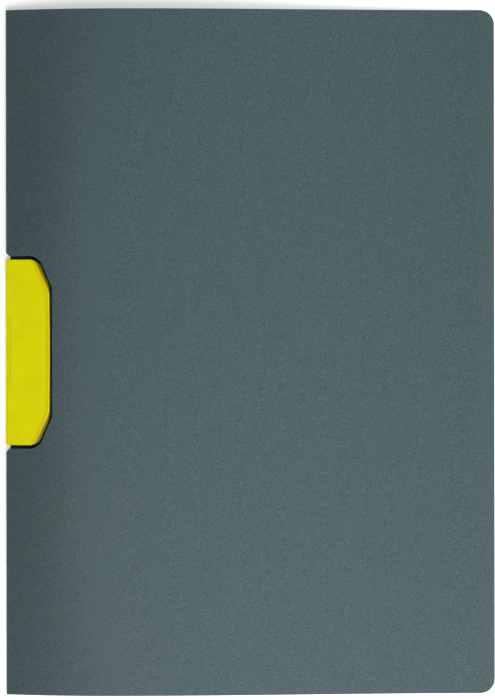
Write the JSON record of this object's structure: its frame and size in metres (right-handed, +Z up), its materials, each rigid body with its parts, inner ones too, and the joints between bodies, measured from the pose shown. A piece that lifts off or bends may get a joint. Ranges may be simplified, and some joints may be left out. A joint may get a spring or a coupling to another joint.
{
  "type": "clip folder",
  "caption": "A4 plastic folder whose creased cover has a cut-out at the spine for a hinged clip that swings out over the spine to take loose sheets.",
  "frame": {"origin": "centre of the underside of the closed folder, on the surface that it lies on", "axes": "+X from the spine to the fore edge, +Y from the foot to the head, +Z up through the front cover"},
  "size_m": [0.2216, 0.31, 0.0093],
  "materials": {
    "cover_sheet": "dark blue-grey polypropylene sheet with a fine grain",
    "clip_plastic": "bright yellow moulded ABS, satin",
    "pin_steel": "drawn wire",
    "rivet_steel": "nickel plated"
  },
  "bodies": {
    "base": {"back_cover": "cover_sheet", "clip_base": "clip_plastic", "hinge_pin": "pin_steel", "rivet_1": "rivet_steel", "rivet_2": "rivet_steel", "rivet_3": "rivet_steel", "rivet_4": "rivet_steel"},
    "spine": {"spine_strip_upper": "cover_sheet", "spine_strip_lower": "cover_sheet"},
    "cover": {"front_cover": "cover_sheet"},
    "clip": {"swing_clip": "clip_plastic"}
  },
  "joints": [
    {"name": "spine_fold", "type": "hinge", "parent": "base", "child": "spine", "pos_m": [-0.11025, 0, 0.0004], "axis": [0, -1, 0], "range_deg": [0, 82]},
    {"name": "cover_fold", "type": "hinge", "parent": "spine", "child": "cover", "pos_m": [-0.11025, 0, 0.0032], "axis": [0, -1, 0], "range_deg": [0, 82]},
    {"name": "clip_swing", "type": "hinge", "parent": "base", "child": "clip", "pos_m": [-0.10925, 0, 0.00248], "axis": [0, -1, 0], "range_deg": [0, 168]}
  ],
  "couplings": [
    {"joint": "cover_fold", "follows": "spine_fold", "ratio": 1}
  ]
}
